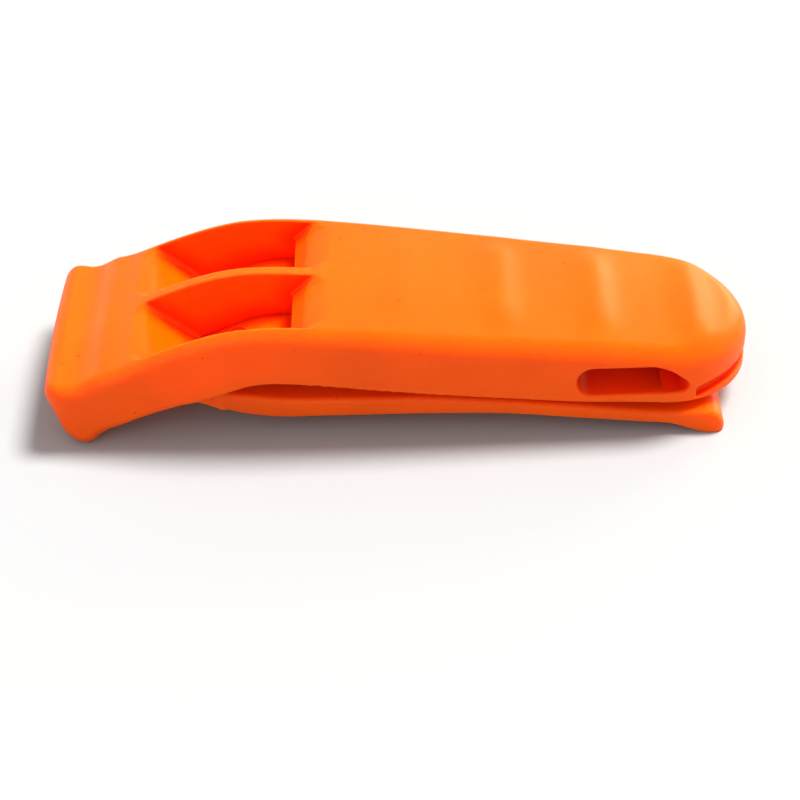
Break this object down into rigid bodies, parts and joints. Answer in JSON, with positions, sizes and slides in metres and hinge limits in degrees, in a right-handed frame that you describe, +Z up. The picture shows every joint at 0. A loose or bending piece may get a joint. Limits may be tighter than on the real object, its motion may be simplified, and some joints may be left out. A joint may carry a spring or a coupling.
{
  "type": "training whistle",
  "caption": "Flat pealess whistle with side-by-side tone chambers, sloped mouthpiece, ridged back, lanyard slot and a springy belt clip underneath.",
  "frame": {"origin": "middle of the footprint, on the surface that the whistle lies on", "axes": "+X towards the lanyard end, -X towards the mouthpiece, +Y towards the side with the shorter chamber, +Z up; it lies on its mouthpiece lip and its clip tip"},
  "size_m": [0.068, 0.0222, 0.0131],
  "materials": {
    "orange_shell": "satin moulded ABS with a fine even grain",
    "orange_base": "satin moulded ABS, same batch as the shell",
    "orange_clip": "satin moulded ABS, same batch as the shell"
  },
  "bodies": {
    "whistle": {"body_shell": "orange_shell", "base_plate": "orange_base"},
    "clip": {"belt_clip": "orange_clip"}
  },
  "joints": [
    {"name": "clip_flex", "type": "hinge", "parent": "clip", "child": "whistle", "pos_m": [-0.017, 0, 0.0043], "axis": [0, -1, 0], "range_deg": [0, 6], "stiffness_Nm_per_rad": 2.5}
  ]
}
